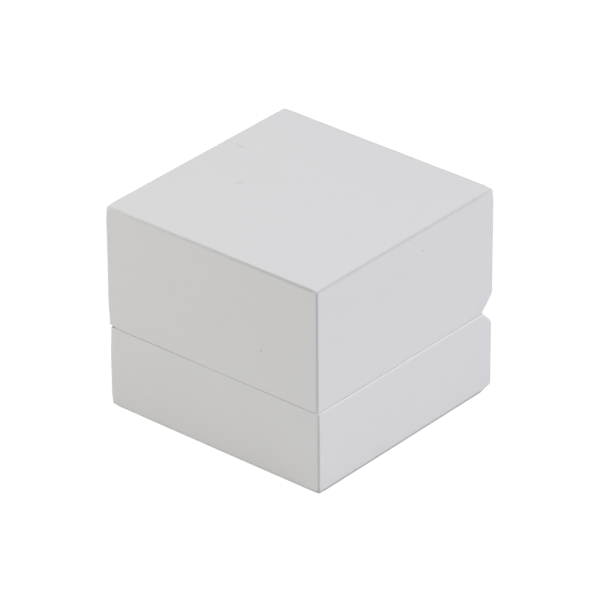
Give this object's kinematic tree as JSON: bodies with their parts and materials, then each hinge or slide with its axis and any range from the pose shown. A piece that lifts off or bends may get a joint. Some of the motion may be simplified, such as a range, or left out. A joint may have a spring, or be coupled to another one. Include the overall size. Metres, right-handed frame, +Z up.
{
  "type": "hinged ring gift box",
  "caption": "Square hinged ring box with a tall lid, a V notch at the rear, a snap hinge, a slotted ring cushion in the base and a soft pad in the lid.",
  "frame": {"origin": "middle of the underside, on the table", "axes": "+Z up, +X to the right along the hinge, -Y towards the front, with the hinge at the rear (+Y)"},
  "size_m": [0.0604, 0.06, 0.05],
  "materials": {
    "fibreboard": "matte",
    "white_leatherette": "satin",
    "lining_suede": "matte",
    "cushion_velvet": "matte",
    "pad_satin": "satin",
    "foam": "matte",
    "card": "matte",
    "hinge_steel": "satin",
    "foot_velour": "matte"
  },
  "bodies": {
    "base": {"base_front_board": "fibreboard", "base_rear_board": "fibreboard", "base_left_board": "fibreboard", "base_right_board": "fibreboard", "base_bottom_board": "fibreboard", "base_wrap": "white_leatherette", "base_foot_pad": "foot_velour", "base_lining_front": "lining_suede", "base_lining_rear": "lining_suede", "base_lining_left": "lining_suede", "base_lining_right": "lining_suede", "ring_cushion_board": "card", "ring_cushion_foam_front": "foam", "ring_cushion_foam_rear": "foam", "ring_cushion_cover": "cushion_velvet", "hinge_base_leaf": "hinge_steel", "hinge_pin": "hinge_steel", "hinge_snap_spring": "hinge_steel", "hinge_base_brads": "hinge_steel"},
    "lid": {"lid_front_board": "fibreboard", "lid_rear_board": "fibreboard", "lid_left_board": "fibreboard", "lid_right_board": "fibreboard", "lid_top_board": "fibreboard", "lid_wrap": "white_leatherette", "lid_lining_front": "lining_suede", "lid_lining_rear": "lining_suede", "lid_lining_left": "lining_suede", "lid_lining_right": "lining_suede", "lid_pad_board": "card", "lid_pad_foam": "foam", "lid_pad_cover": "pad_satin", "hinge_lid_leaf": "hinge_steel", "hinge_lid_brads": "hinge_steel"}
  },
  "joints": [
    {"name": "lid_hinge", "type": "hinge", "parent": "base", "child": "lid", "pos_m": [0, 0.0265, 0.0202], "axis": [-1, 0, 0], "range_deg": [0, 90], "deforming": ["hinge_snap_spring"]}
  ]
}
